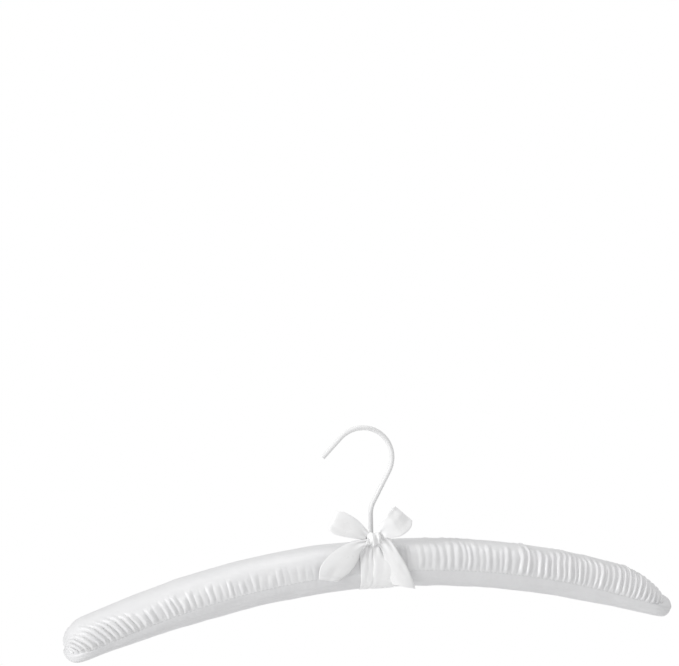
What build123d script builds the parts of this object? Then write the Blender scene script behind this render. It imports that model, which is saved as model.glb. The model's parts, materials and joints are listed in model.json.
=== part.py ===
from build123d import *
import math
import os

# Padded satin hanger, in millimetres.
# +X runs along the arms, +Y away from the side that shows the bow, +Z up.
# The origin is the hook's seat: the top of the hook's inside curve, where a rail carries it.

# ---- driving dimensions ----
# hook
wire_d = 2.2
sleeve_d = 3.0
sleeve_fit = 0.02          # radial room between the wire and its sleeve
hook_bore_r = 17.5         # radius of the hook's inside curve
tip_run = 15.9             # straight end beyond the curve
tip_angle = 135.0          # where the curve stops on the open side, in degrees from +X
neck_angle = -29.0         # where the curve stops on the shank side
swivel_x = 4.5             # the shank stands this far to the right of the hook's centre
neck_bend_r = 16.0         # bend from the sloping neck to the upright shank
wire_inset = 0.6           # the wire ends this far inside the sleeve's tip
tiny = 0.001

# padded body
body_z = -83.2             # height of the arms' centreline at the middle
arm_bend_r = 470.0         # radius of the arms' centreline
bend_reach = 150.0         # the centreline is curved out to here, straight beyond
arm_reach = 195.0          # half of the overall width
half_height = 14.1
half_depth = 17.5
edge_r = 11.5              # roundness of the long edges
tip_low_r = 11.7           # roundness of each end, lower corner
tip_high_r = 17.5          # roundness of each end, upper corner
cloth_t = 0.8              # satin with its backing
cloth_gap = 0.1
seam_drop = 2.0            # the seam runs this far below the centreline
seam_gap = 0.1             # between the two panels' edges
touch_gap = 0.02           # thread lies this close on the cloth

# wooden core
core_half_height = 8.0
core_half_depth = 6.0
core_reach = 176.0
core_edge_r = 2.0
core_tip_r = 5.0

# pivot of the hook in the core
pivot_gap = 0.08           # radial room between the wire and the core's bore
bore_lead = 1.0            # the bore is cut from this far above the core
counterbore_d = 8.4
counterbore_deep = 5.0
washer_d = 7.0
washer_t = 0.8
washer_gap = 0.1
washer_edge = 0.16
head_d = 4.4
head_t = 1.7
head_round = 1.0
sleeve_end_gap = 0.3       # between the sleeve's lower end and the core
shank_room = 0.5           # padding and cloth stay this far from the turning sleeve

# ribbon
ribbon_t = 0.6
ribbon_w = 14.0
ribbon_gap = 0.25
wrap_left = -11.0          # edges of the wrap, measured from the shank
wrap_right = 13.0
slot_half = 2.4            # the two turns part this far from the shank's axis
slot_half_depth = 9.0
thread_t = 0.5
stitch_high = 0.2          # the middle stitches stay under the ribbon

# bow; x and z are measured from the shank and from the body's centreline
knot_x = -1.5
knot_y = -13.0
knot_z = 16.4
knot_w = 8.4
knot_tall = 8.0
knot_deep = 6.4
knot_corner_r = 2.6
knot_edge_r = 2.0
bow_gap = 0.3              # the bow's parts stay this far apart
loop_root = 4.6            # the loops leave the knot this far from its middle
loop_deep = 9.0
loop_pinch_r = 0.9         # half the loops' depth where they leave the knot
loop_root_half = 3.2       # half their width there
loop_lap = 1.0             # their outline runs this far past each end
left_loop_w = 13.0         # the left loop is seen a little narrower than the ribbon
left_rise = 30.0
left_reach = 26.0
right_rise = 39.0
right_reach = 21.0
tail_lift = 1.3            # the tails lie this far over the cloth
tail_back = 9.0
tail_lap = 2.0             # the strip they are cut from runs this far past them
left_tail = ((-4, 17.5), (-20, 16), (-36.7, 6.5), (-38.7, -2.8), (-26.6, -5.3), (-15, 4.5), (-4, 11))
right_tail = ((2, 17), (9, 17), (12.8, 9.4), (17.9, 0), (21.8, -13), (7.9, -9.7), (4.1, 2.5), (2.5, 10))

os.makedirs("parts", exist_ok=True)

# ---- shared places ----
hook_centre = (0, -hook_bore_r)
line_r = hook_bore_r + sleeve_d / 2
bend_angle = math.degrees(math.asin(bend_reach / arm_bend_r))
bend_drop = arm_bend_r - math.sqrt(arm_bend_r**2 - bend_reach**2)
front = Plane.XZ
middle = Plane.YZ.offset(swivel_x)
shank_top = Plane.XY.offset(body_z + half_height)
core_top_z = body_z + core_half_height
core_low_z = body_z - core_half_height
washer_top_z = core_low_z + counterbore_deep - washer_gap
washer_low_z = washer_top_z - washer_t
wire_low_z = washer_low_z - head_t
sleeve_low_z = core_top_z + sleeve_end_gap


def unit(angle):
    """Direction in the XZ plane at an angle from +X."""
    return (math.cos(math.radians(angle)), math.sin(math.radians(angle)))


def hook_line(tip_cut, low_z):
    """Centreline of the hook, from its tip over the curve and down the shank."""
    x_tip, z_tip = unit(tip_angle)
    start = (line_r * x_tip, hook_centre[1] + line_r * z_tip)
    run = tip_run - tip_cut
    tip = (start[0] - z_tip * run, start[1] + x_tip * run)
    x_neck, z_neck = unit(neck_angle)
    neck = (line_r * x_neck, hook_centre[1] + line_r * z_neck)
    turn = -neck_angle
    bend_tangent = neck_bend_r * math.tan(math.radians(turn / 2))
    neck_run = (neck[0] - swivel_x) / -z_neck - bend_tangent
    neck_end = (neck[0] + z_neck * neck_run, neck[1] - x_neck * neck_run)
    bend_low_z = neck_end[1] + neck_bend_r * z_neck
    with BuildLine(front) as line:
        Line(tip, start)
        CenterArc(hook_centre, line_r, tip_angle, neck_angle - tip_angle)
        Line(neck, neck_end)
        CenterArc((swivel_x + neck_bend_r, bend_low_z), neck_bend_r, 180 + neck_angle, turn)
        Line((swivel_x, bend_low_z), (swivel_x, low_z))
    return line.line


def arm_form(grow, half_tall, half_deep, reach, low_r, high_r, long_r):
    """Right half of a bowed bar: constant section along the arm, rounded end."""
    tall = half_tall + grow
    centre = (swivel_x, body_z - arm_bend_r)
    sin_a = math.sin(math.radians(bend_angle))
    cos_a = math.cos(math.radians(bend_angle))
    end_x = swivel_x + reach + grow

    def on_arc(offset, share):
        angle = math.radians(bend_angle * share)
        r = arm_bend_r + offset
        return (centre[0] + r * math.sin(angle), centre[1] + r * math.cos(angle))

    def on_end(offset):
        x, z = on_arc(offset, 1)
        return (end_x, z - (end_x - x) * sin_a / cos_a)

    with BuildPart() as form:
        with BuildSketch(front) as outline:
            with BuildLine():
                ThreePointArc(on_arc(tall, 0), on_arc(tall, 0.5), on_arc(tall, 1))
                Line(on_arc(tall, 1), on_end(tall))
                Line(on_end(tall), on_end(-tall))
                Line(on_end(-tall), on_arc(-tall, 1))
                ThreePointArc(on_arc(-tall, 1), on_arc(-tall, 0.5), on_arc(-tall, 0))
                Line(on_arc(-tall, 0), on_arc(tall, 0))
            make_face()
            fillet(outline.vertices().group_by(Axis.X)[-1].sort_by(Axis.Y)[0], low_r + grow)
            fillet(outline.vertices().group_by(Axis.X)[-1].sort_by(Axis.Y)[-1], high_r + grow)
        extrude(amount=half_deep + grow, both=True)
        rim = form.faces().filter_by(Axis.Y).edges()
        long_edges = [e for e in rim if (e @ 0.5).X > swivel_x + tiny]
        fillet(long_edges, long_r + grow)
    return form.part


def padded(grow):
    """Right half of the padded body, grown or shrunk evenly."""
    return arm_form(grow, half_height, half_depth, arm_reach, tip_low_r, tip_high_r, edge_r)


def below_seam(shift):
    """Everything right of the middle and under the seam's surface."""
    floor_z = body_z - 2 * bend_drop - 3 * half_height
    drop = seam_drop - shift
    r = arm_bend_r - drop
    far_x = swivel_x + arm_reach + half_height

    def on_arc(share):
        angle = math.radians(bend_angle * share)
        return (swivel_x + r * math.sin(angle), body_z - arm_bend_r + r * math.cos(angle))

    end = on_arc(1)
    far_z = end[1] - (far_x - end[0]) * math.tan(math.radians(bend_angle))
    with BuildPart() as region:
        with BuildSketch(front):
            with BuildLine():
                ThreePointArc(on_arc(0), on_arc(0.5), end)
                Line(end, (far_x, far_z))
                Line((far_x, far_z), (far_x, floor_z))
                Line((far_x, floor_z), (swivel_x, floor_z))
                Line((swivel_x, floor_z), on_arc(0))
            make_face()
        extrude(amount=2 * half_depth, both=True)
    return region.part


def shank_clear(radius):
    """Upright cylinder round the shank that padding and cloth leave free."""
    with BuildPart() as room:
        with BuildSketch(Plane.XY.offset(core_top_z)):
            with Locations((swivel_x, 0)):
                Circle(radius)
        extrude(amount=3 * half_height)
    return room.part


def save(piece, name):
    piece.label = name
    export_step(piece, "parts/" + name + ".step")


# ---- hook ----
sleeve_line = hook_line(0.0, sleeve_low_z)
wire_line = hook_line(wire_inset, wire_low_z)

with BuildPart() as hook_sleeve:
    with BuildSketch(Plane(origin=sleeve_line @ 0, z_dir=sleeve_line % 0)):
        Circle(sleeve_d / 2)
        Circle(wire_d / 2 + sleeve_fit, mode=Mode.SUBTRACT)
    sweep(path=sleeve_line)
save(hook_sleeve.part, "hook_sleeve")

with BuildPart() as hook_wire:
    with BuildSketch(Plane(origin=wire_line @ 0, z_dir=wire_line % 0)):
        Circle(wire_d / 2)
    sweep(path=wire_line)
    with BuildSketch(Plane.XY.offset(wire_low_z)):
        with Locations((swivel_x, 0)):
            Circle(head_d / 2)
    extrude(amount=head_t)
    head_rim = hook_wire.edges().filter_by(GeomType.CIRCLE).sort_by(Axis.Z)[0]
    fillet(head_rim, head_round)
save(hook_wire.part, "hook_wire")

with BuildPart() as washer:
    with BuildSketch(Plane.XY.offset(washer_low_z)):
        with Locations((swivel_x, 0)):
            Circle(washer_d / 2)
            Circle(wire_d / 2 + sleeve_fit, mode=Mode.SUBTRACT)
    extrude(amount=washer_t)
    chamfer(washer.faces().sort_by(Axis.Z)[0].outer_wire().edges(), washer_edge)
save(washer.part, "washer")

# ---- wooden core ----
half_core = arm_form(0.0, core_half_height, core_half_depth, core_reach, core_tip_r, core_tip_r, core_edge_r)
with BuildPart() as core:
    add(half_core)
    mirror(about=middle)
    with Locations(Location((swivel_x, 0, core_top_z + bore_lead))):
        Hole(wire_d / 2 + pivot_gap, depth=4 * core_half_height)
    with Locations(Location((swivel_x, 0, core_low_z), (180, 0, 0))):
        Hole(counterbore_d / 2, depth=counterbore_deep)
save(core.part, "core")

# ---- padding, one sleeve for each arm ----
core_room = arm_form(
    cloth_gap, core_half_height, core_half_depth, core_reach, core_tip_r, core_tip_r, core_edge_r
)
clear = shank_clear(sleeve_d / 2 + shank_room)
with BuildPart() as foam_right:
    add(padded(-cloth_t - cloth_gap))
    add(core_room, mode=Mode.SUBTRACT)
    add(clear, mode=Mode.SUBTRACT)
save(foam_right.part, "foam_right")

# ---- satin: gathered upper panel and plain lower panel ----
skin = padded(0.0)
hollow = padded(-cloth_t)
with BuildPart() as cover_right:
    add(skin)
    add(hollow, mode=Mode.SUBTRACT)
    add(below_seam(seam_gap / 2), mode=Mode.SUBTRACT)
    add(clear, mode=Mode.SUBTRACT)
save(cover_right.part, "cover_right")

with BuildPart() as strip_right:
    add(skin)
    add(hollow, mode=Mode.SUBTRACT)
    add(below_seam(-seam_gap / 2), mode=Mode.INTERSECT)
save(strip_right.part, "strip_right")

# ---- sewing along the seam, hugging the cloth ----
with BuildPart() as seam_thread_right:
    add(padded(thread_t))
    add(padded(touch_gap), mode=Mode.SUBTRACT)
    add(below_seam(thread_t / 2), mode=Mode.INTERSECT)
    add(below_seam(-thread_t / 2), mode=Mode.SUBTRACT)
    with BuildSketch(front):
        with Locations((swivel_x + wrap_right / 2, body_z)):
            Rectangle(wrap_right + 2 * ribbon_t, 3 * half_height)
    extrude(amount=2 * half_depth, both=True, mode=Mode.SUBTRACT)
save(seam_thread_right.part, "seam_thread_right")


def band(low, high, left, right):
    """Right half of a band round the body between two heights over the cloth, and two distances."""
    with BuildPart() as ring:
        add(padded(high))
        add(padded(low), mode=Mode.SUBTRACT)
        with BuildSketch(front):
            with Locations((swivel_x + (left + right) / 2, body_z)):
                Rectangle(right - left, 4 * half_height)
        extrude(amount=2 * half_depth, both=True, mode=Mode.INTERSECT)
    return ring.part


# ---- stitches that join the two halves, under the ribbon ----
with BuildPart() as centre_thread:
    add(band(touch_gap, stitch_high, 0, thread_t))
    add(clear, mode=Mode.SUBTRACT)
    mirror(about=middle)
save(centre_thread.part, "centre_thread")

# ---- ribbon: two turns round the middle, parted by the shank ----
with BuildPart() as ribbon_wrap:
    add(band(ribbon_gap, ribbon_gap + ribbon_t, 0, -wrap_left))
    mirror(about=middle, mode=Mode.REPLACE)
    add(band(ribbon_gap, ribbon_gap + ribbon_t, 0, wrap_right))
    with BuildSketch(shank_top):
        with Locations((swivel_x, 0)):
            SlotCenterToCenter(2 * slot_half_depth, 2 * slot_half, rotation=90)
    extrude(amount=half_height / 2, both=True, mode=Mode.SUBTRACT)
save(ribbon_wrap.part, "ribbon_wrap")

# ---- bow, tied in front of the shank ----
with BuildPart() as body_room:
    add(padded(ribbon_gap + ribbon_t + bow_gap))
    mirror(about=middle)

with BuildPart() as bow_knot:
    with BuildSketch(Plane.XZ.offset(-knot_y - knot_deep / 2)):
        with Locations((swivel_x + knot_x, body_z + knot_z)):
            RectangleRounded(knot_w, knot_tall, knot_corner_r)
    extrude(amount=knot_deep)
    fillet(bow_knot.faces().filter_by(Axis.Y).edges(), knot_edge_r)
    add(body_room.part, mode=Mode.SUBTRACT)
save(bow_knot.part, "bow_knot")

with BuildPart() as knot_room:
    with BuildSketch(Plane.XZ):
        with Locations((swivel_x + knot_x, body_z + knot_z)):
            RectangleRounded(knot_w + 2 * bow_gap, knot_tall + 2 * bow_gap, knot_corner_r + bow_gap)
    extrude(amount=3 * half_depth)


def bow_loop(side, rise, reach, width):
    """One loop: a band folded back on itself, pinched to the knot's height at its root."""
    x_out, z_out = unit(rise)
    along = Vector(side * x_out, 0, z_out)
    across = Vector(side * z_out, 0, -x_out)
    knot = Vector(swivel_x + knot_x, knot_y, body_z + knot_z)
    root = knot + along * loop_root
    half = loop_deep / 2
    far = reach + loop_lap
    halfway = reach / 2
    with BuildPart() as loop:
        with BuildSketch(Plane(origin=root, x_dir=along, z_dir=across)):
            with Locations((reach - half, 0)):
                Circle(half)
            Circle(loop_pinch_r)
            make_hull()
            with BuildSketch(mode=Mode.SUBTRACT):
                with Locations((reach - half, 0)):
                    Circle(half - ribbon_t)
                Circle(loop_pinch_r - ribbon_t)
                make_hull()
        extrude(amount=width, both=True)
        with BuildSketch(Plane(origin=root, x_dir=along, z_dir=(0, -1, 0))):
            with BuildLine():
                Polyline((-loop_lap, -loop_root_half), (halfway, -width / 2), (far, -width / 2),
                         (far, width / 2), (halfway, width / 2), (-loop_lap, loop_root_half),
                         close=True)
            make_face()
        extrude(amount=loop_deep, both=True, mode=Mode.INTERSECT)
        add(body_room.part, mode=Mode.SUBTRACT)
        add(knot_room.part, mode=Mode.SUBTRACT)
    return loop.part


save(bow_loop(-1, left_rise, left_reach, left_loop_w), "bow_loop_left")
save(bow_loop(1, right_rise, right_reach, ribbon_w), "bow_loop_right")


def bow_tail(outline, side):
    """A free end lying on the front of the body, cut to its outline seen from the front."""
    span = max(abs(x) for x, z in outline) + tail_lap
    with BuildPart() as tail:
        add(band(tail_lift, tail_lift + ribbon_t, 0, span))
        if side < 0:
            mirror(about=middle, mode=Mode.REPLACE)
        with BuildSketch(Plane.XZ.offset(tail_back)):
            with BuildLine():
                Polyline(*[(swivel_x + x, body_z + z) for x, z in outline], close=True)
            make_face()
        extrude(amount=2 * half_depth, mode=Mode.INTERSECT)
        add(knot_room.part, mode=Mode.SUBTRACT)
    return tail.part


save(bow_tail(left_tail, -1), "bow_tail_left")
save(bow_tail(right_tail, 1), "bow_tail_right")

# ---- left-hand pieces, mirrored from the right ----
for name, piece in (
    ("foam_left", foam_right.part),
    ("cover_left", cover_right.part),
    ("strip_left", strip_right.part),
    ("seam_thread_left", seam_thread_right.part),
):
    with BuildPart() as left:
        add(piece)
        mirror(about=middle, mode=Mode.REPLACE)
    save(left.part, name)
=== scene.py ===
import bpy
import bmesh
import json
import math
import numpy as np
from mathutils import Matrix, Vector


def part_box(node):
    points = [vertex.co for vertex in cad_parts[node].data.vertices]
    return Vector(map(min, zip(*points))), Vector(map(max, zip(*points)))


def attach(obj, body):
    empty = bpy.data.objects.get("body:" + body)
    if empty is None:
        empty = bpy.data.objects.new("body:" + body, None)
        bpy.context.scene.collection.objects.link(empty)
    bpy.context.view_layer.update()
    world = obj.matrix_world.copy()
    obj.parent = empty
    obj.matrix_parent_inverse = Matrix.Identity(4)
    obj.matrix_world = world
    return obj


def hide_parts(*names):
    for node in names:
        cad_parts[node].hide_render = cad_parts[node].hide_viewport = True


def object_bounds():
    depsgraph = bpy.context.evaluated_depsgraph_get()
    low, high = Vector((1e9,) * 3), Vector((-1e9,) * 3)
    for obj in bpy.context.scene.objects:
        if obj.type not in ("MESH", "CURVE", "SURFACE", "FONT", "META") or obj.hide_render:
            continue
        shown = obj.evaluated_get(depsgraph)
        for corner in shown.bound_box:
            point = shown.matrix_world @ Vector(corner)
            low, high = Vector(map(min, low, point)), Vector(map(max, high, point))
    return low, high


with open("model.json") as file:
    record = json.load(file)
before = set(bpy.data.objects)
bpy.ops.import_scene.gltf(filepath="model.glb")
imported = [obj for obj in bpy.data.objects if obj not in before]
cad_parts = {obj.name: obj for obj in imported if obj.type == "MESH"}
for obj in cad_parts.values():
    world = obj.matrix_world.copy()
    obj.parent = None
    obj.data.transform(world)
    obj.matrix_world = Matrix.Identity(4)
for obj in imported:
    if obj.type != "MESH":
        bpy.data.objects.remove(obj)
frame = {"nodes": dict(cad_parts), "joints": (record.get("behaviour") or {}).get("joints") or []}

# Padded satin hanger: gathered covers, plain lower panels, ribbon and bow, built round the fixed frame.
# Lengths are in millimetres while a shape is worked out, and in metres once it is a mesh.
# Local x is measured from the shank, y from the arms' middle plane, z from the arms' centreline.

MM = 0.001
cad_low, cad_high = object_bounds()
joint = frame["joints"][0]

# ---- places taken from the fixed frame ----
swivel_x = joint["pos_m"][0] / MM
core_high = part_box("core")[1]
cover_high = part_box("cover_right")[1]
core_half_height = 8.0
body_z = core_high[2] / MM - core_half_height     # height of the centreline at the middle
arm_reach = cover_high[0] / MM - swivel_x
half_height = cover_high[2] / MM - body_z
half_depth = cover_high[1] / MM

# ---- arms: centreline and section ----
bend_r = 470.0             # radius of the arms' bend
bend_reach = 150.0         # the arms are straight beyond this
bend_angle = math.asin(bend_reach / bend_r)
bend_run = bend_r * bend_angle
seam_drop = 2.0            # the seam lies this far below the centreline
end_short = {1: 3.0, -1: 2.6}         # the right arm is padded a little less far
tray_lead = {1: 5.4, -1: 1.6}         # the lower panel's end stands this far beyond the gathers
top_nose = {1: 34.0, -1: 18.0}        # lengths over which the ends round off
top_nose_power = {1: 1.6, -1: 2.1}
low_nose = 7.5
side_nose = 17.0
end_power = 2.2            # how full the ends are, seen from above
low_taper = {1: 0.30, -1: 0.42}       # the lower panel thins towards the ends by this share
low_taper_run = 100.0
top_power = 2.35           # squareness of the upper and lower section
low_power = 2.9
arm_run = bend_run + (arm_reach - bend_reach + seam_drop * math.sin(bend_angle)) / math.cos(bend_angle)


def centre_line(run):
    """Point on the arms' centreline and its slope, at a run from the middle."""
    along = np.minimum(run, bend_run)
    angle = along / bend_r
    beyond = np.maximum(run - bend_run, 0.0)
    x = bend_r * np.sin(angle) + beyond * np.cos(angle)
    z = -bend_r * (1 - np.cos(angle)) - beyond * np.sin(angle)
    return x, z, angle


def rounding(run, end, length, power):
    """1 along the arm, falling to 0 at its end."""
    share = np.clip((run - (end - length)) / length, 0.0, 1.0)
    return (1 - share ** power) ** (1 / power)


def smooth(low, high, value):
    """Smooth step from 0 to 1."""
    t = np.clip((value - low) / (high - low), 0.0, 1.0)
    return t * t * (3 - 2 * t)


def bulge(value, power):
    """Signed power, for the rounded sections."""
    return np.sign(value) * np.abs(value) ** (2 / power)


def soft_noise(x, y, seed, octaves=2):
    """Smooth value noise, about -1 to 1, with one cell per unit."""
    cells = 64
    total = np.zeros(np.broadcast(x, y).shape)
    size = 1.0
    for octave in range(octaves):
        table = np.random.default_rng(seed + octave).uniform(-1, 1, (cells, cells))
        gx = x * size
        gy = y * size
        ix = np.floor(gx).astype(int)
        iy = np.floor(gy).astype(int)
        fx = smooth(0, 1, gx - ix)
        fy = smooth(0, 1, gy - iy)
        a = table[ix % cells, iy % cells]
        b = table[(ix + 1) % cells, iy % cells]
        c = table[ix % cells, (iy + 1) % cells]
        d = table[(ix + 1) % cells, (iy + 1) % cells]
        near = a * (1 - fx) + b * fx
        far = c * (1 - fx) + d * fx
        total = total + (near * (1 - fy) + far * fy) / size
        size = size * 2
    return total


def flowing(value, stations, values):
    """Smooth curve through values given at stations."""
    s = np.asarray(stations, float)
    w = np.asarray(values, float)
    slope = np.gradient(w, s)
    i = np.clip(np.searchsorted(s, value, side="right") - 1, 0, len(s) - 2)
    h = s[i + 1] - s[i]
    t = np.clip((value - s[i]) / h, 0.0, 1.0)
    start = (2 * t**3 - 3 * t**2 + 1) * w[i] + (t**3 - 2 * t**2 + t) * h * slope[i]
    end = (3 * t**2 - 2 * t**3) * w[i + 1] + (t**3 - t**2) * h * slope[i + 1]
    return start + end


# ---- mesh helpers ----
def sheet_mesh(name, across, along, shape, uv_scale, weld=0.02, flip=False):
    """A grid of cloth. shape turns (u, v), each 0 to 1, into x, y, z in millimetres from the local origin."""
    bm = bmesh.new()
    bm.loops.layers.uv.new("UVMap")
    bmesh.ops.create_grid(bm, x_segments=along, y_segments=across, size=0.5, calc_uvs=True)
    mesh = bpy.data.meshes.new(name)
    bm.to_mesh(mesh)
    bm.free()
    count = len(mesh.vertices)
    flat = np.empty(count * 3)
    mesh.vertices.foreach_get("co", flat)
    flat = flat.reshape(count, 3)
    x, y, z = shape(flat[:, 0] + 0.5, flat[:, 1] + 0.5)
    placed = np.stack([(x + swivel_x) * MM, y * MM, (z + body_z) * MM], axis=1)
    mesh.vertices.foreach_set("co", placed.ravel())
    uv = mesh.uv_layers[0].data
    values = np.empty(len(uv) * 2)
    uv.foreach_get("uv", values)
    values = values.reshape(-1, 2) * np.array(uv_scale) * MM
    uv.foreach_set("uv", values.ravel())
    bm = bmesh.new()
    bm.from_mesh(mesh)
    bmesh.ops.remove_doubles(bm, verts=bm.verts, dist=weld * MM)
    if flip:
        bmesh.ops.reverse_faces(bm, faces=bm.faces)
    for face in bm.faces:
        face.smooth = True
    bm.to_mesh(mesh)
    bm.free()
    piece = bpy.data.objects.new(name, mesh)
    bpy.context.collection.objects.link(piece)
    return piece


def give_cloth_thickness(piece, thick, outward=-1.0):
    """Live Solidify, so that the cloth has two faces and an edge."""
    wall = piece.modifiers.new("cloth_thickness", "SOLIDIFY")
    wall.thickness = thick * MM
    wall.offset = outward
    wall.use_even_offset = False


# ---- shader groups ----
def new_group(name, inputs, outputs):
    """An empty shader node group with its sockets."""
    group = bpy.data.node_groups.new(name, "ShaderNodeTree")
    for label, kind, value in inputs:
        socket = group.interface.new_socket(label, in_out="INPUT", socket_type=kind)
        if value is not None:
            socket.default_value = value
    for label, kind in outputs:
        group.interface.new_socket(label, in_out="OUTPUT", socket_type=kind)
    start = group.nodes.new("NodeGroupInput")
    end = group.nodes.new("NodeGroupOutput")
    return group, start, end


def math_node(tree, kind, a, b=None):
    """One step of arithmetic on values or sockets."""
    node = tree.nodes.new("ShaderNodeMath")
    node.operation = kind
    for slot, value in ((0, a), (1, b)):
        if value is None:
            continue
        if isinstance(value, (int, float)):
            node.inputs[slot].default_value = value
        else:
            tree.links.new(value, node.inputs[slot])
    return node.outputs[0]


def build_satin_weave():
    """Long satin floats crossed by fine picks, as a height. A float dips under every fifth thread."""
    group, start, end = new_group(
        "satin_weave",
        [("Vector", "NodeSocketVector", None), ("Threads per metre", "NodeSocketFloat", 3000.0)],
        [("Height", "NodeSocketFloat")],
    )
    split = group.nodes.new("ShaderNodeSeparateXYZ")
    group.links.new(start.outputs["Vector"], split.inputs[0])
    threads = math_node(group, "MULTIPLY", split.outputs[0], start.outputs["Threads per metre"])
    picks = math_node(group, "MULTIPLY", split.outputs[1], start.outputs["Threads per metre"])
    float_wave = math_node(group, "SINE", math_node(group, "MULTIPLY", picks, 2 * math.pi))
    step = math_node(group, "FLOOR", picks)
    shifted = math_node(group, "ADD", threads, math_node(group, "MULTIPLY", step, 2.0))
    fifth = math_node(group, "FRACT", math_node(group, "DIVIDE", shifted, 5.0))
    gap = math_node(group, "LESS_THAN", fifth, 0.16)
    rounded = math_node(group, "MULTIPLY", float_wave, 0.5)
    height = math_node(group, "SUBTRACT", rounded, math_node(group, "MULTIPLY", gap, 0.6))
    group.links.new(height, end.inputs["Height"])
    return group


def build_cloud():
    """Soft patches, as a value round 0.5."""
    group, start, end = new_group(
        "cloth_cloud",
        [("Vector", "NodeSocketVector", None), ("Scale", "NodeSocketFloat", 60.0)],
        [("Value", "NodeSocketFloat")],
    )
    noise = group.nodes.new("ShaderNodeTexNoise")
    noise.inputs["Detail"].default_value = 3.0
    noise.inputs["Roughness"].default_value = 0.55
    group.links.new(start.outputs["Vector"], noise.inputs["Vector"])
    group.links.new(start.outputs["Scale"], noise.inputs["Scale"])
    group.links.new(noise.outputs["Fac"], end.inputs["Value"])
    return group


satin_weave = build_satin_weave()
cloth_cloud = build_cloud()


def place_group(tree, group, vector, **values):
    """A copy of a group in a material, with its inputs set by name."""
    node = tree.nodes.new("ShaderNodeGroup")
    node.node_tree = group
    tree.links.new(vector, node.inputs["Vector"])
    for label, value in values.items():
        node.inputs[label.replace("_", " ")].default_value = value
    return node


def colour_mix(tree, mask, first, second):
    """A colour that goes from first to second with the mask."""
    mix = tree.nodes.new("ShaderNodeMix")
    mix.data_type = "RGBA"
    tree.links.new(mask, mix.inputs["Factor"])
    mix.inputs["A"].default_value = (*first, 1.0)
    mix.inputs["B"].default_value = (*second, 1.0)
    return mix.outputs["Result"]


def spread(tree, value, to_low, to_high):
    """Stretches the clouds' usual span of values, 0.3 to 0.7, over a new range."""
    node = tree.nodes.new("ShaderNodeMapRange")
    tree.links.new(value, node.inputs["Value"])
    for label, number in (("From Min", 0.3), ("From Max", 0.7), ("To Min", to_low), ("To Max", to_high)):
        node.inputs[label].default_value = number
    return node.outputs["Result"]


def add_relief(tree, shader, height, strength, distance):
    """Bump from a height, in metres."""
    relief = tree.nodes.new("ShaderNodeBump")
    relief.inputs["Strength"].default_value = strength
    relief.inputs["Distance"].default_value = distance
    tree.links.new(height, relief.inputs["Height"])
    tree.links.new(relief.outputs["Normal"], shader.inputs["Normal"])


def blank_material(name):
    """A new material with its shader and texture coordinates."""
    material = bpy.data.materials.new(name)
    material.use_nodes = True
    tree = material.node_tree
    shader = tree.nodes["Principled BSDF"]
    coords = tree.nodes.new("ShaderNodeTexCoord")
    return material, tree, shader, coords


def satin(name, bright, dim, rough, threads, bump, sheen, coat):
    """Satin cloth: bright floats, a soft gloss that shifts in patches, and a fine weave."""
    material, tree, shader, coords = blank_material(name)
    cloud = place_group(tree, cloth_cloud, coords.outputs["Object"], Scale=90.0)
    weave = place_group(tree, satin_weave, coords.outputs["UV"], Threads_per_metre=threads)
    patches = spread(tree, cloud.outputs["Value"], 0.0, 1.0)
    tree.links.new(colour_mix(tree, patches, dim, bright), shader.inputs["Base Color"])
    gloss = spread(tree, cloud.outputs["Value"], rough + 0.05, rough - 0.04)
    tree.links.new(gloss, shader.inputs["Roughness"])
    add_relief(tree, shader, weave.outputs["Height"], bump, 0.00006)
    shader.inputs["Sheen Weight"].default_value = sheen
    shader.inputs["Sheen Roughness"].default_value = 0.35
    shader.inputs["Coat Weight"].default_value = coat
    shader.inputs["Coat Roughness"].default_value = 0.3
    shader.inputs["Specular IOR Level"].default_value = 0.6
    return material


# name, bright, dim, roughness, threads per metre, relief, sheen, coat
cover_satin = satin("gathered_satin", (0.83, 0.83, 0.835), (0.79, 0.79, 0.80), 0.36, 3200.0, 0.3, 0.25, 0.12)
strip_satin = satin("plain_satin", (0.80, 0.80, 0.81), (0.77, 0.77, 0.78), 0.42, 3200.0, 0.35, 0.2, 0.08)
ribbon_satin = satin("ribbon_satin", (0.96, 0.96, 0.96), (0.93, 0.93, 0.935), 0.3, 2600.0, 0.3, 0.3, 0.15)


def thread_material():
    """Twisted sewing thread."""
    material, tree, shader, coords = blank_material("sewing_thread")
    cloud = place_group(tree, cloth_cloud, coords.outputs["Object"], Scale=900.0)
    tree.links.new(
        colour_mix(tree, cloud.outputs["Value"], (0.78, 0.78, 0.79), (0.9, 0.9, 0.9)),
        shader.inputs["Base Color"],
    )
    add_relief(tree, shader, cloud.outputs["Value"], 0.5, 0.00005)
    shader.inputs["Roughness"].default_value = 0.55
    return material


def vinyl_material():
    """Smooth white vinyl tube with a faint drawn grain."""
    material, tree, shader, coords = blank_material("white_vinyl")
    cloud = place_group(tree, cloth_cloud, coords.outputs["Object"], Scale=90.0)
    tree.links.new(
        colour_mix(tree, cloud.outputs["Value"], (0.84, 0.84, 0.845), (0.88, 0.88, 0.88)),
        shader.inputs["Base Color"],
    )
    tree.links.new(spread(tree, cloud.outputs["Value"], 0.40, 0.48), shader.inputs["Roughness"])
    add_relief(tree, shader, cloud.outputs["Value"], 0.01, 0.00001)
    shader.inputs["Coat Weight"].default_value = 0.08
    shader.inputs["Coat Roughness"].default_value = 0.3
    return material


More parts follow.
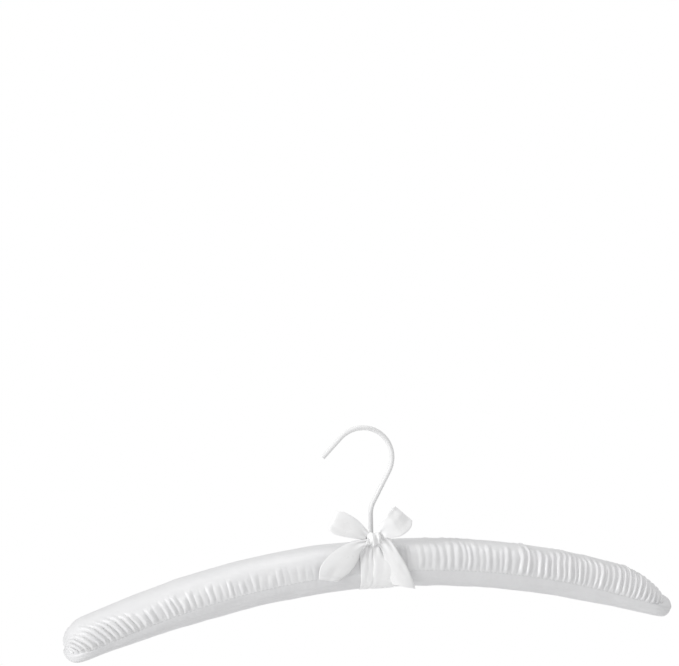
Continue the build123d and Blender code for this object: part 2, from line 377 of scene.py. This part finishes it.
def steel_material():
    """Drawn steel wire, with fine scratches along it."""
    material, tree, shader, coords = blank_material("drawn_steel")
    stretch = tree.nodes.new("ShaderNodeMapping")
    stretch.inputs["Scale"].default_value = (4000.0, 4000.0, 150.0)
    tree.links.new(coords.outputs["Object"], stretch.inputs["Vector"])
    cloud = place_group(tree, cloth_cloud, stretch.outputs["Vector"], Scale=1.0)
    tree.links.new(
        colour_mix(tree, cloud.outputs["Value"], (0.5, 0.5, 0.51), (0.68, 0.68, 0.69)),
        shader.inputs["Base Color"],
    )
    tree.links.new(spread(tree, cloud.outputs["Value"], 0.28, 0.42), shader.inputs["Roughness"])
    shader.inputs["Metallic"].default_value = 1.0
    return material


def wood_material():
    """Pale beech with growth lines along the arms."""
    material, tree, shader, coords = blank_material("beech_wood")
    stretch = tree.nodes.new("ShaderNodeMapping")
    stretch.inputs["Scale"].default_value = (6.0, 90.0, 90.0)
    tree.links.new(coords.outputs["Object"], stretch.inputs["Vector"])
    grain = tree.nodes.new("ShaderNodeTexWave")
    grain.bands_direction = "Z"
    grain.inputs["Scale"].default_value = 1.4
    grain.inputs["Distortion"].default_value = 5.0
    grain.inputs["Detail"].default_value = 3.0
    tree.links.new(stretch.outputs["Vector"], grain.inputs["Vector"])
    tree.links.new(
        colour_mix(tree, grain.outputs["Fac"], (0.56, 0.38, 0.22), (0.74, 0.56, 0.36)),
        shader.inputs["Base Color"],
    )
    shader.inputs["Roughness"].default_value = 0.65
    add_relief(tree, shader, grain.outputs["Fac"], 0.2, 0.0002)
    return material


def foam_material():
    """Open-cell foam: small pits in an off-white ground, the pits painted darker and yellower as painted
    shade inside them.
    """
    material, tree, shader, coords = blank_material("padding_foam")
    cells = tree.nodes.new("ShaderNodeTexVoronoi")
    cells.inputs["Scale"].default_value = 900.0
    tree.links.new(coords.outputs["Object"], cells.inputs["Vector"])
    # painted shade: the colour darkens towards each pit's middle, where the bump sinks it
    tree.links.new(
        colour_mix(tree, cells.outputs["Distance"], (0.70, 0.68, 0.60), (0.88, 0.87, 0.82)),
        shader.inputs["Base Color"],
    )
    shader.inputs["Roughness"].default_value = 0.9
    add_relief(tree, shader, cells.outputs["Distance"], 0.6, 0.0005)
    return material


thread = thread_material()
vinyl = vinyl_material()
steel = steel_material()
wood = wood_material()
foam = foam_material()


def finish_piece(piece, material, node):
    """Material and body for one piece of the padded body; the node it stands in for is hidden."""
    piece.data.materials.clear()
    piece.data.materials.append(material)
    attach(piece, "hanger_body")
    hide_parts(node)


def hand(side):
    """Which arm: side is 1 for the right and -1 for the left."""
    return "right" if side > 0 else "left"


# ---- gathers ----
# For each arm: how deep the gathers are, how far they reach up from the seam (1 is the top of the
# section), and how uneven they are, at distances from the end of the arm.
gather_stations = (0.0, 5.0, 14.0, 50.0, 62.0, 95.0, 130.0, 165.0, 200.0)
gather_depth = {
    1: (0.4, 0.8, 1.0, 1.0, 0.9, 0.85, 0.55, 0.38, 0.2),
    -1: (0.5, 1.1, 1.35, 1.1, 0.9, 0.65, 0.4, 0.16, 0.05),
}
gather_reach = {
    1: (1.4, 1.4, 1.3, 1.1, 1.0, 0.9, 0.9, 0.95, 0.95),
    -1: (0.8, 0.8, 0.74, 0.60, 0.52, 0.48, 0.45, 0.4, 0.35),
}
gather_uneven = (0.15, 0.15, 0.18, 0.3, 0.5, 0.6, 0.65, 0.7, 0.7)
gather_pitch = {1: 3.5, -1: 3.9}
gather_narrow = {1: 1.6, -1: 1.1}     # higher makes the gathers narrower, with flatter ground between
gather_rise = 1.8                     # height of a full gather
gather_lean = {1: 8.0, -1: 20.0}      # the gathers lean over towards the end by this much
gather_lean_run = {1: 60.0, -1: 100.0}
gather_skew = 0.8                     # below 1, each gather's crest sits to one side
fade_from = 0.55                      # shares of its reach between which a gather dies out
fade_to = 1.05
sewn_height = 0.45                    # height left where the seam holds a gather down
sewn_band = 0.08
tuck_pitch = 0.53                     # the small tucks at the seam, against the gathers
tuck_rise = 0.2
tuck_band = 0.14
wander_cell = 9.0                     # how the gathers stray from straight
wander_rise = 1.1
width_spread = (-0.4, 0.6)            # unevenness of width, depth and reach
depth_spread = (-0.3, 1.0)
reach_spread = (-0.45, 0.3)


def pleat_table(side, run):
    """Edges of the pleats along the arm, with each one's own depth and reach."""
    picker = np.random.default_rng(40 + side)
    edges = [0.0]
    depths = []
    reaches = []
    while edges[-1] < run + 10.0:
        from_end = max(run - edges[-1], 0.0)
        uneven = np.interp(from_end, gather_stations, gather_uneven)
        width = gather_pitch[side] * (1 + uneven * picker.uniform(*width_spread))
        edges.append(edges[-1] + width)
        depths.append(1 - uneven * picker.uniform(*depth_spread))
        reaches.append(1 + uneven * picker.uniform(*reach_spread))
    return np.array(edges), np.array(depths), np.array(reaches)


def gather_height(side, surface_run, run_total, seam_run, share):
    """Height of the gathers over the smooth cover. share is 0 at the seam and 1 at the top."""
    edges, depths, reaches = pleat_table(side, run_total)
    from_end = run_total - surface_run
    uneven = np.interp(from_end, gather_stations, gather_uneven)
    wander = soft_noise(surface_run / wander_cell, share * 2.5 + 3.0, 11 + side) * wander_rise * uneven
    lean = gather_lean[side] * share * smooth(gather_lean_run[side], 0, from_end)
    along = seam_run + (surface_run - seam_run) * share
    at = np.clip(along + wander - lean, 0.0, edges[-2])
    index = np.clip(np.searchsorted(edges, at, side="right") - 1, 0, len(depths) - 1)
    part = (at - edges[index]) / (edges[index + 1] - edges[index])
    toward_left = np.clip(1 - part if side < 0 else part, 0.0, 1.0)
    ridge = np.maximum(np.sin(np.pi * toward_left ** gather_skew), 0.0) ** gather_narrow[side]
    depth = np.interp(from_end, gather_stations, gather_depth[side]) * depths[index]
    reach = np.interp(from_end, gather_stations, gather_reach[side]) * reaches[index]
    fade = 1 - smooth(reach * fade_from, reach * fade_to, share)
    sewn = sewn_height + (1 - sewn_height) * smooth(0.0, sewn_band, share)
    tucks = np.sin(2 * np.pi * surface_run / (gather_pitch[side] * tuck_pitch) + 2.0 * wander)
    full = np.interp(from_end, gather_stations, gather_depth[side])
    tucks = tuck_rise * tucks * smooth(tuck_band, 0.0, share) * full
    return gather_rise * np.maximum(depth, 0.02) * ridge * fade * sewn + tucks


def surface_measure(u, end, nose):
    """Run along the centreline, and along the surface, for an even spacing round the end."""
    straight = end - nose
    total = straight + nose * math.pi / 2
    on_surface = u * total
    turn = np.clip((on_surface - straight) / nose, 0, math.pi / 2)
    run = np.where(on_surface < straight, on_surface, straight + nose * np.sin(turn))
    return run, on_surface, total


def place_on_arm(side, run, rise, y):
    """Local x, y, z of a point at a run along an arm and a rise square to its centreline."""
    x, z, angle = centre_line(run)
    return side * (x + rise * np.sin(angle)), y, z + rise * np.cos(angle)


def gathered_cover(side):
    """Upper satin panel of one arm, from the seam in front over the top to the seam behind."""
    end = arm_run - end_short[side] - tray_lead[side]
    wave_rise = 0.22           # broad, soft waves
    wave_cell = 17.0
    seam_band = 0.05           # next to the seam the cover stands off by seam_stand
    seam_stand = 0.25
    drawn_in = 0.35            # towards the middle the ribbon draws the cover in
    drawn_from = 6.0
    drawn_to = 24.0
    pole_run = 3.0             # every lift fades out over this last run, to close the end
    end_lift = 0.35            # share of a gather's height left upwards at the very end
    end_push = 0.6             # share of it that goes outwards there

    def shape(u, v):
        run, on_surface, total = surface_measure(u, end, top_nose[side])
        top = (half_height + seam_drop) * rounding(run, end, top_nose[side], top_nose_power[side])
        deep = half_depth * rounding(run, end, side_nose, end_power)
        turn = v * math.pi
        share = 1 - np.abs(2 * v - 1)
        out_y = -bulge(np.cos(turn), top_power)
        out_z = bulge(np.sin(turn), top_power)
        nose_share = np.clip((run - end + side_nose) / side_nose, 0.0, 1.0)
        seam_run = np.minimum(run, end - side_nose) + side_nose * np.arcsin(nose_share)
        lift = gather_height(side, on_surface, total, seam_run, share)
        lift = lift + wave_rise * soft_noise(on_surface / wave_cell, v * 4.0, 5 + side)
        free = smooth(0.0, seam_band, share)
        lift = lift * free + seam_stand * (1 - free)
        lift = lift * smooth(0.0, drawn_from, on_surface)
        lift = lift - drawn_in * smooth(drawn_to, drawn_from, on_surface)
        lift = lift * smooth(0.0, pole_run, total - on_surface)
        slim = rounding(run, end, side_nose, end_power)
        normal_y = -np.cos(turn)
        normal_z = np.sin(turn) * (end_lift + (1 - end_lift) * slim)
        rise = -seam_drop + top * out_z + lift * normal_z
        y = deep * out_y + lift * normal_y * np.minimum(slim * 1.5, 1.0)
        return place_on_arm(side, run + lift * (1 - slim) * np.sin(turn) * end_push, rise, y)

    return sheet_mesh("satin_cover_" + hand(side), 64, 620, shape, (230.0, 60.0), flip=side > 0)


for side in (1, -1):
    piece = gathered_cover(side)
    finish_piece(piece, cover_satin, "cover_" + hand(side))


# ---- plain lower panels ----
def plain_strip(side):
    """Lower satin panel of one arm: a tray with an upright wall, a soft crease and a flat underside."""
    end = arm_run - end_short[side]
    full_power = 2.4           # how full the end is, seen from above and from in front
    turned = 0.12              # cloth turned in over the padding at each edge, against the way round
    lip = 2.6                  # how far in it goes along the arm; at the end the two edges meet
    lip_stand = 0.6
    flare = 0.35               # the upper edge stands out by this
    edge_band = 0.06           # every lift fades out this near an edge
    crease_at = 0.125          # place of the crease, as a share of the way round from each edge
    crease_half = 0.022
    crease_deep = 0.28
    sag_rise = 0.42
    pucker_rise = 0.16
    pucker_pitch = 3.4
    pucker_band = 0.10
    cap_rise = {1: 4.5, -1: 2.2}[side]      # height of the rounded cap at the end

    def shape(u, v):
        run, on_surface, _ = surface_measure(u, end, side_nose)
        taper = 1 - low_taper[side] * smooth(end - low_taper_run, end, run)
        low = (half_height - seam_drop) * taper * rounding(run, end, low_nose, full_power)
        deep = half_depth * rounding(run, end, side_nose, full_power)
        rim = lip + (deep + flare - lip) * smooth(end - 22.0, end - 12.0, run)
        around = v * (1 + 2 * turned) - turned
        wall = np.clip(around, 0.0, 1.0)
        inward = np.maximum(-around, around - 1.0)
        inward = np.clip(inward / turned, 0.0, 1.0)
        from_edge = np.minimum(wall, 1 - wall)
        turn = wall * math.pi
        out_y = -bulge(np.cos(turn), low_power)
        out_z = -bulge(np.sin(turn), low_power)
        crease = np.exp(-((from_edge - crease_at) / crease_half) ** 2)
        sag = sag_rise * soft_noise(on_surface / 22.0, wall * 4.0, 21 + side, 3)
        stray = 4 * soft_noise(on_surface / 8.0, wall, 9)
        puckers = pucker_rise * np.sin(2 * np.pi * on_surface / pucker_pitch + stray)
        puckers = puckers * smooth(pucker_band, 0.0, from_edge)
        lift = (sag + puckers - crease_deep * crease) * smooth(0.0, edge_band, from_edge)
        lift = lift * smooth(0.0, 20.0, end - run) * smooth(0.0, 6.0, on_surface)
        cap = cap_rise * smooth(end - 20.0, end - 10.0, run) * rounding(run, end, 9.0, end_power)
        rim_rise = (lip_stand + cap) * np.sin(np.pi / 2 * inward)
        y_sign = np.sign(out_y + 1e-9)
        y = (deep + flare * np.exp(-((wall - np.round(wall)) / 0.03) ** 2)) * out_y
        y = y - lift * np.cos(turn) - y_sign * rim * inward
        rise = -seam_drop + low * out_z - lift * np.sin(turn) + rim_rise
        return place_on_arm(side, run, rise, y)

    return sheet_mesh("satin_strip_" + hand(side), 90, 260, shape, (230.0, 80.0), flip=side < 0)


for side in (1, -1):
    piece = plain_strip(side)
    finish_piece(piece, strip_satin, "strip_" + hand(side))


# ---- padding inside the satin ----
def padding(side):
    """Foam sleeve of one arm, a little inside the satin all round."""
    end = arm_run - end_short[side] - tray_lead[side]
    inset = 1.5

    def shape(u, v):
        run, on_surface, _ = surface_measure(u, end - inset, side_nose)
        round_top = rounding(run, end - inset, top_nose[side], top_nose_power[side])
        round_low = rounding(run, end - inset, side_nose, end_power)
        turn = 2 * math.pi * v
        up = np.sin(turn) > 0
        taper = 1 - low_taper[side] * smooth(end - low_taper_run, end, run)
        high = (half_height + seam_drop - inset) * round_top
        low = (half_height - seam_drop - inset) * taper * round_low
        tall = np.where(up, high, low)
        power = np.where(up, top_power, low_power)
        closed = smooth(0.0, 0.5, on_surface)
        y = -(half_depth - inset) * round_low * bulge(np.cos(turn), power) * closed
        rise = -seam_drop + tall * bulge(np.sin(turn), power) * closed
        return place_on_arm(side, run, rise, y)

    return sheet_mesh("foam_padding_" + hand(side), 64, 120, shape, (230.0, 90.0), flip=side > 0)


for side in (1, -1):
    piece = padding(side)
    finish_piece(piece, foam, "foam_" + hand(side))


# ---- sewing along the seam ----
stitch_run = 2.9
stitch_r = 0.17


def seam_stitches(side):
    """Running stitches along the seam in front, round the end inside the padding, and back behind."""
    end = arm_run - end_short[side] - tray_lead[side]
    first = 13.5               # the thread comes out just beside the ribbon
    turn_back = 9.0            # the thread turns back this far before the end
    stitch_stand = 0.6
    stitch_sunk = 0.15

    def shape(u, v):
        there = 1 - np.abs(2 * u - 1)
        run, on_surface, _ = surface_measure(there, end, side_nose)
        run = first + run * (end - turn_back - first) / end
        deep = half_depth * rounding(run, end, side_nose, end_power)
        front = np.where(u < 0.5, -1.0, 1.0)
        dip = stitch_stand * np.abs(np.sin(np.pi * on_surface / stitch_run)) - stitch_sunk
        inside = smooth(end - turn_back - 6.0, end - turn_back, run)
        turn = 2 * math.pi * v
        y = front * (deep + dip) * (1 - inside) + stitch_r * np.cos(turn)
        rise = -seam_drop + stitch_r * np.sin(turn)
        return place_on_arm(side, run, rise, y)

    return sheet_mesh("seam_stitches_" + hand(side), 6, 1100, shape, (400.0, 1.5), flip=side < 0)


for side in (1, -1):
    finish_piece(seam_stitches(side), thread, "seam_thread_" + hand(side))


# ---- ribbon and bow ----
# Turns are degrees round the body: 90 is its top, 180 its front, 270 its underside. A strand's two
# edges are its local x at each of those turns.
ribbon_wide = 14.0
ribbon_thick = 0.3
knot_place = (-2.1, -13.8, 17.8)
wrap_turns = (90, 104, 120, 140, 170, 200, 230, 270, 330, 400, 450)
wrap_edges = {
    "left": (
        (-11, -10.4, -8.8, -10.6, -11.5, -11.7, -11.7, -11, -11, -11, -11),
        (-2.4, -1.6, -0.6, -1.4, -2.2, -3.2, -3.8, -2, 0, -0.3, -2.4),
    ),
    "right": (
        (2.4, 1.0, -1.6, -2.6, -3.4, -4.4, -5.0, -2.8, 0.0, 0.5, 2.4),
        (13, 11.5, 8.5, 10, 11.5, 12, 12, 12, 13, 13, 13),
    ),
}


def wrap_strand(name, edges, seed, base):
    """One turn of ribbon round the middle of the body, drawn together at the knot. base is its height."""
    pleat_rise = 0.75          # pleats where the knot draws the strand together
    pleat_count = 2.6
    crease_rise = 0.35
    edge_curl = -0.55
    knot_lift = 3.6            # the strand rises to the knot near the middle
    knot_half = 6.5

    def shape(u, v):
        degrees = 90 + 360 * u
        left = flowing(degrees, wrap_turns, edges[0])
        right = flowing(degrees, wrap_turns, edges[1])
        x = left + (right - left) * v
        turn = np.radians(degrees)
        upper = np.sin(turn) >= 0
        high = (half_height + seam_drop) * bulge(np.sin(turn), top_power)
        low = (half_height - seam_drop) * bulge(np.sin(turn), low_power)
        rise = -seam_drop + np.where(upper, high, low)
        power = np.where(upper, top_power, low_power)
        y = half_depth * bulge(np.cos(turn), power)
        drawn = np.exp(-(((degrees - 120) / 24) ** 2))
        pleats = pleat_rise * drawn * np.cos(2 * math.pi * (pleat_count * v + 0.1 * seed))
        creases = crease_rise * soft_noise(v * 3.5, u * 9.0, 60 + seed)
        creases = creases * smooth(0, 0.04, u) * smooth(1, 0.96, u)
        curl = edge_curl * (np.abs(2 * v - 1) ** 6)
        snug = 0.35 + 0.65 * np.exp(-(((degrees - 150) / 70) ** 2))
        middle_share = np.exp(-(((x - knot_place[0]) / knot_half) ** 2))
        to_knot = knot_lift * middle_share * np.exp(-(((degrees - 118) / 19) ** 2))
        lift = base * snug + pleats + creases * snug + curl + to_knot
        rise = rise + lift * np.sin(turn)
        return place_on_arm(np.sign(x + 1e-9), np.abs(x), rise, y + lift * np.cos(turn))

    return sheet_mesh(name, 28, 150, shape, (105.0, ribbon_wide))


def knot_band():
    """The ribbon's turn over the middle of the bow, with its folds and one deep crease."""
    wide = 9.4
    tall = 4.1
    deep = 3.4
    fold_rise = 0.85
    fold_count = 2.2
    gap_deep = 2.0
    gap_at = 0.42
    gap_half = 0.08

    def shape(u, v):
        turn = 2 * math.pi * u
        across = 2 * v - 1
        facing = np.maximum(np.cos(turn), 0)
        round_off = 1 - 0.5 * np.abs(across) ** 3
        folds = fold_rise * np.cos(2 * math.pi * (fold_count * v + 0.3 * np.sin(turn) + 0.1))
        gap = -gap_deep * np.exp(-(((v - gap_at) / gap_half) ** 2)) * smooth(0.1, -0.9, np.sin(turn)) * facing
        out = folds + gap
        waist = 0.9 + 0.18 * np.abs(np.sin(turn))
        x = knot_place[0] + across * wide / 2 * waist + 0.8 * np.sin(turn)
        y = knot_place[1] - (deep * round_off + out) * np.cos(turn)
        z = knot_place[2] + (tall * round_off + 0.6 * out) * np.sin(turn) - 0.6 * across
        return x, y, z

    return sheet_mesh("bow_knot_ribbon", 26, 60, shape, (26.0, ribbon_wide), flip=True)


def loop_sheet(name, low_edge, high_edge, deep, top_bend, fold, seed, flip):
    """One loop: out along the front, round the far fold, back behind. Edges run from knot to fold.

    deep is how far it swells, top_bend how far its upper edge bends back, fold the height of a cross fold.
    """
    stations = np.linspace(0, 1, len(low_edge))
    fold_at = 0.58             # place of the cross fold, out from the knot
    fold_half = 0.42

    def shape(u, v):
        angle = 2 * math.pi * u
        out = (1 - np.cos(angle)) / 2
        swell = -deep * np.sin(angle) * np.abs(np.sin(angle / 2))
        low = [flowing(out, stations, [point[k] for point in low_edge]) for k in (0, 1)]
        high = [flowing(out, stations, [point[k] for point in high_edge]) for k in (0, 1)]
        behind = smooth(0.5, 0.75, u)
        share = 0.5 + (v - 0.5) * (1 - 0.08 * behind)
        share = 0.5 + (share - 0.5) * (1 - 0.14 * smooth(0.86, 1.0, out))
        share = share * (1 - 0.14 * behind)
        x = low[0] + (high[0] - low[0]) * share
        z = low[1] + (high[1] - low[1]) * share
        root = smooth(0.45, 0.0, out)
        folds = 0.7 * root * np.cos(2 * math.pi * (1.6 * v + 0.2 * seed))
        soft = 0.35 * soft_noise(out * 3, v * 2, 80 + seed)
        y = knot_place[1] + 0.6 + swell + folds + soft + top_bend * smooth(0.6, 1.0, v) * out
        y = y - 1.0 * smooth(0.3, 0.0, v) * out * (1 - behind)
        y = y - fold * np.maximum(1 - np.abs(out - fold_at) / fold_half, 0.0) * smooth(0.52, 0.46, u)
        return x, y, z

    return sheet_mesh(name, 24, 110, shape, (58.0, ribbon_wide), flip=flip)


# Local x and z of the loops' edges.
left_loop_low = ((-4.0, 15.6), (-9.0, 18.0), (-15.6, 19.8), (-24.5, 22.3), (-30.8, 25.3))
left_loop_high = ((-3.2, 20.5), (-7.4, 25.8), (-11.5, 30.3), (-17.2, 34.6), (-23.6, 37.8))
right_loop_low = ((1.2, 16.4), (5.5, 18.4), (13.0, 19.2), (19.0, 22.4), (23.2, 27.2))
right_loop_high = ((-0.4, 20.5), (2.6, 28.0), (5.8, 31.8), (9.2, 34.9), (12.3, 37.4))


def tail_sheet(name, left_edge, right_edge, seed, curl):
    """A free end, its cut curling outwards. Edges are x, y, z from the knot to the cut."""
    stations = np.linspace(0, 1, len(left_edge))

    def shape(u, v):
        left = [flowing(u, stations, [point[k] for point in left_edge]) for k in range(3)]
        right = [flowing(u, stations, [point[k] for point in right_edge]) for k in range(3)]
        x, y, z = [left[k] + (right[k] - left[k]) * v for k in range(3)]
        root = smooth(0.5, 0.0, u)
        folds = 0.8 * root * np.cos(2 * math.pi * (1.7 * v + 0.3 * seed)) - 0.6 * root
        ripple = 0.45 * soft_noise(u * 3.0, v * 2.0, 90 + seed)
        belly = -0.7 * (1 - (2 * v - 1) ** 2) * smooth(0.1, 0.5, u)
        hem = curl * smooth(0.90, 1.0, u)
        edge = 0.5 * smooth(0.9, 1.0, v)
        return x, y + folds + ripple + belly - hem + edge, z + 0.35 * hem

    return sheet_mesh(name, 24, 70, shape, (44.0, ribbon_wide))


# Local x, y and z of the tails' edges.
left_tail_left = ((-3.6, -14.4, 18.6), (-11.5, -15.4, 18.2), (-20.5, -17.2, 16.6), (-30.0, -19.6, 12.0),
                  (-36.9, -20.8, 5.2), (-38.9, -21.2, -3.4))
left_tail_right = ((-3.0, -15.0, 14.6), (-8.2, -16.6, 14.0), (-11.2, -17.8, 10.8), (-13.4, -18.6, 5.8),
                   (-18.4, -19.0, -0.4), (-26.6, -19.0, -6.0))
right_tail_left = ((-0.6, -14.8, 16.2), (1.8, -16.0, 12.8), (3.2, -17.4, 8.4), (4.6, -18.6, 2.0),
                   (6.2, -18.8, -4.2), (7.9, -18.8, -10.2))
right_tail_right = ((2.2, -14.4, 19.0), (8.2, -16.0, 16.6), (12.6, -18.8, 9.6), (16.6, -20.2, 2.2),
                    (20.0, -20.6, -6.0), (22.2, -20.6, -13.6))


def ribbon_piece(piece, node):
    """Thickness, material and body for one length of the ribbon, with the node it stands in for hidden."""
    give_cloth_thickness(piece, ribbon_thick)
    finish_piece(piece, ribbon_satin, node)


for name, seed, base in (("left", 1, 0.9), ("right", 2, 1.4)):
    strand = wrap_strand("ribbon_turn_" + name, wrap_edges[name], seed, base)
    ribbon_piece(strand, "ribbon_wrap")
ribbon_piece(knot_band(), "bow_knot")
loop_left = loop_sheet("bow_loop_left_ribbon", left_loop_low, left_loop_high, 3.2, 0.4, 0.0, 1, True)
ribbon_piece(loop_left, "bow_loop_left")
loop_right = loop_sheet("bow_loop_right_ribbon", right_loop_low, right_loop_high, 4.6, 2.4, 1.7, 2, False)
ribbon_piece(loop_right, "bow_loop_right")
tail_left = tail_sheet("bow_tail_left_ribbon", left_tail_left, left_tail_right, 1, 2.2)
ribbon_piece(tail_left, "bow_tail_left")
tail_right = tail_sheet("bow_tail_right_ribbon", right_tail_left, right_tail_right, 2, 0.2)
ribbon_piece(tail_right, "bow_tail_right")

# ---- carried-over nodes ----
for node, material in (
    ("hook_sleeve", vinyl),
    ("hook_wire", steel),
    ("washer", steel),
    ("core", wood),
    ("centre_thread", thread),
):
    piece = frame["nodes"][node]
    piece.data.materials.clear()
    piece.data.materials.append(material)


# ---- stage: floor, light and camera ----
def build_floor():
    """Pale floor below the object, seen as plain white."""
    floor_drop = 0.25
    bm = bmesh.new()
    bmesh.ops.create_grid(bm, x_segments=8, y_segments=8, size=60.0)
    mesh = bpy.data.meshes.new("pale_floor")
    bm.to_mesh(mesh)
    bm.free()
    floor = bpy.data.objects.new("pale_floor", mesh)
    floor.location = (0, 0, cad_low[2] - floor_drop)
    bpy.context.collection.objects.link(floor)
    material, tree, shader, coords = blank_material("pale_floor_paint")
    cloud = place_group(tree, cloth_cloud, coords.outputs["Object"], Scale=3.0)
    tree.links.new(
        colour_mix(tree, cloud.outputs["Value"], (0.84, 0.84, 0.84), (0.88, 0.88, 0.88)),
        shader.inputs["Base Color"],
    )
    shader.inputs["Roughness"].default_value = 0.9
    bright = tree.nodes.new("ShaderNodeEmission")
    mix = tree.nodes.new("ShaderNodeMixShader")
    ray = tree.nodes.new("ShaderNodeLightPath")
    out = tree.nodes["Material Output"]
    tree.links.new(ray.outputs["Is Camera Ray"], mix.inputs[0])
    tree.links.new(shader.outputs[0], mix.inputs[1])
    tree.links.new(bright.outputs[0], mix.inputs[2])
    tree.links.new(mix.outputs[0], out.inputs["Surface"])
    mesh.materials.append(material)


def build_world():
    """Even white surroundings: full white where seen, dimmer as light."""
    light_strength = 0.53
    world = bpy.data.worlds.new("soft_studio")
    bpy.context.scene.world = world
    world.use_nodes = True
    tree = world.node_tree
    tree.nodes.clear()
    out = tree.nodes.new("ShaderNodeOutputWorld")
    lit = tree.nodes.new("ShaderNodeBackground")
    seen = tree.nodes.new("ShaderNodeBackground")
    mix = tree.nodes.new("ShaderNodeMixShader")
    ray = tree.nodes.new("ShaderNodeLightPath")
    lit.inputs["Strength"].default_value = light_strength
    seen.inputs["Strength"].default_value = 1.0
    for node in (lit, seen):
        node.inputs["Color"].default_value = (1, 1, 1, 1)
    tree.links.new(ray.outputs["Is Camera Ray"], mix.inputs[0])
    tree.links.new(lit.outputs[0], mix.inputs[1])
    tree.links.new(seen.outputs[0], mix.inputs[2])
    tree.links.new(mix.outputs[0], out.inputs["Surface"])


def softbox(name, place, aim, size, watts):
    """A rectangular lamp at a place, turned to its aim."""
    data = bpy.data.lights.new(name, "AREA")
    data.shape = "RECTANGLE"
    data.size, data.size_y = size
    data.energy = watts
    lamp = bpy.data.objects.new(name, data)
    lamp.location = place
    lamp.rotation_euler = (Vector(aim) - Vector(place)).to_track_quat("-Z", "Y").to_euler()
    bpy.context.collection.objects.link(lamp)


camera_azimuth = 14.0      # degrees to the left of square-on
camera_height = 12.0       # degrees above the arms
camera_roll = 1.4
camera_distance = 2.03
camera_lens = 174.6
aim_side = 0.00975         # where the arms' middle sits in the view, as slopes from its centre
aim_drop = -0.0699


def build_camera():
    """Camera to the left of the object and a little above it."""
    azimuth = math.radians(camera_azimuth)
    height = math.radians(camera_height)
    right = Vector((math.cos(azimuth), -math.sin(azimuth), 0))
    level = math.cos(height)
    look = Vector((math.sin(azimuth) * level, math.cos(azimuth) * level, -math.sin(height)))
    up = right.cross(look)
    basis = Matrix((right, up, -look)).transposed()
    basis = Matrix.Rotation(math.radians(camera_roll), 3, look) @ basis
    turn = Matrix.Rotation(math.atan(aim_side), 3, "Y") @ Matrix.Rotation(-math.atan(aim_drop), 3, "X")
    data = bpy.data.cameras.new("camera")
    data.lens = camera_lens
    data.sensor_width = 36.0
    data.clip_start = 0.05
    data.clip_end = 60.0
    camera = bpy.data.objects.new("camera", data)
    middle = Vector((swivel_x * MM, 0, body_z * MM))
    place = middle - look * camera_distance
    camera.matrix_world = Matrix.Translation(place) @ (basis @ turn).to_4x4()
    bpy.context.collection.objects.link(camera)
    bpy.context.scene.camera = camera


build_floor()
build_world()
middle = (swivel_x * MM, 0, body_z * MM)
softbox("key_light", (-2.7, -0.9, 0.9), middle, (0.9, 0.9), 43.0)
softbox("top_light", (0.3, 0.2, 1.7), middle, (1.2, 0.8), 9.5)
softbox("front_fill", (0.7, -1.8, 0.0), middle, (1.2, 1.0), 3.0)
build_camera()
bpy.context.scene.view_settings.view_transform = "Standard"
